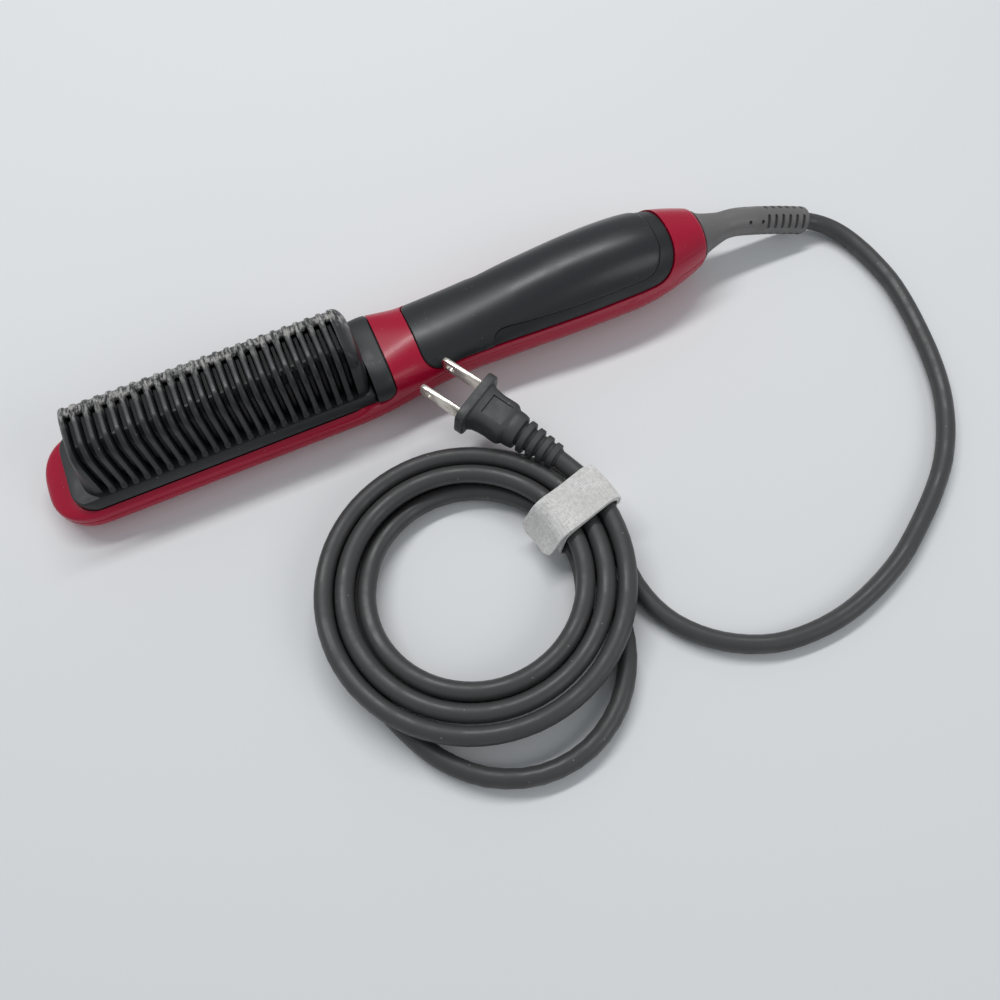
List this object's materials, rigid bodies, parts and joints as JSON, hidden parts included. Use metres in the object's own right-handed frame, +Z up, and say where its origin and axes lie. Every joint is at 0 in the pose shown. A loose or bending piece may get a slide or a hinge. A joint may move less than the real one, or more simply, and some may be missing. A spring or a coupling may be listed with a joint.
{
  "type": "hair straightening brush",
  "caption": "Heated hair straightening brush with a slotted comb head, soft grip, push buttons, swivel cord boot and a strapped coil of mains cord with plug.",
  "frame": {"origin": "centre of the brush's footprint on the surface it lies on, measured without the cord, boot and plug", "axes": "+X from the comb head to the tail along the brush, +Z up through the comb, -Y towards the coiled cord"},
  "size_m": [0.3124, 0.1731, 0.0385],
  "materials": {
    "comb_black": "satin moulded",
    "heater_coated": "dark ceramic coated",
    "ceramic": "matte ceramic",
    "spring_steel": "brushed",
    "sheet_metal": "plain sheet",
    "screw_steel": "zinc plated",
    "red_gloss": "glossy crimson",
    "grip_rubber": "soft satin",
    "grip_border": "satin",
    "panel_black": "gloss black",
    "window_dark": "polished dark",
    "button_grey": "soft satin",
    "inner_white": "moulded",
    "inner_black": "moulded",
    "board_green": "solder mask",
    "lead_red": "insulation",
    "contact_brass": "plain",
    "boot_grey": "satin",
    "cord_grey": "satin",
    "plug_grey": "satin moulded",
    "blade_nickel": "nickel plated",
    "strap_fabric": "woven band"
  },
  "bodies": {
    "brush": {"comb_cover": "comb_black", "heater_plate": "heater_coated", "heater_element": "ceramic", "heater_clamp": "spring_steel", "heat_shield": "sheet_metal", "thermal_cutout": "ceramic", "temperature_sensor": "inner_black", "heater_screws": "screw_steel", "neck_collar": "comb_black", "upper_shell": "red_gloss", "lower_shell": "red_gloss", "grip_pad": "grip_rubber", "grip_bezel": "grip_border", "control_panel": "panel_black", "display_window": "window_dark", "display_module": "inner_white", "control_board": "board_green", "button_switches": "inner_black", "board_screws": "screw_steel", "housing_screws": "screw_steel", "heater_leads": "lead_red", "supply_leads": "inner_black", "contact_block": "inner_white", "contact_leaves": "contact_brass", "swivel_bush": "inner_white", "cord_free": "cord_grey", "cord_coil": "cord_grey", "plug_body": "plug_grey", "plug_blades": "blade_nickel", "cable_strap": "strap_fabric"},
    "power_key": {"power_button": "button_grey"},
    "plus_key": {"plus_button": "button_grey"},
    "minus_key": {"minus_button": "button_grey"},
    "cord_swivel": {"swivel_sleeve": "inner_black", "cord_boot": "boot_grey"}
  },
  "joints": [
    {"name": "power_press", "type": "slide", "parent": "brush", "child": "power_key", "axis": [0, 0, 1], "range_m": [0, 0.0006], "stiffness_N_per_m": 800},
    {"name": "plus_press", "type": "slide", "parent": "brush", "child": "plus_key", "axis": [0, 0, 1], "range_m": [0, 0.0006], "stiffness_N_per_m": 800},
    {"name": "minus_press", "type": "slide", "parent": "brush", "child": "minus_key", "axis": [0, 0, 1], "range_m": [0, 0.0006], "stiffness_N_per_m": 800},
    {"name": "cord_turn", "type": "hinge", "parent": "brush", "child": "cord_swivel", "pos_m": [0.12525, 0, 0.0155], "axis": [1, 0, 0], "continuous": true}
  ]
}
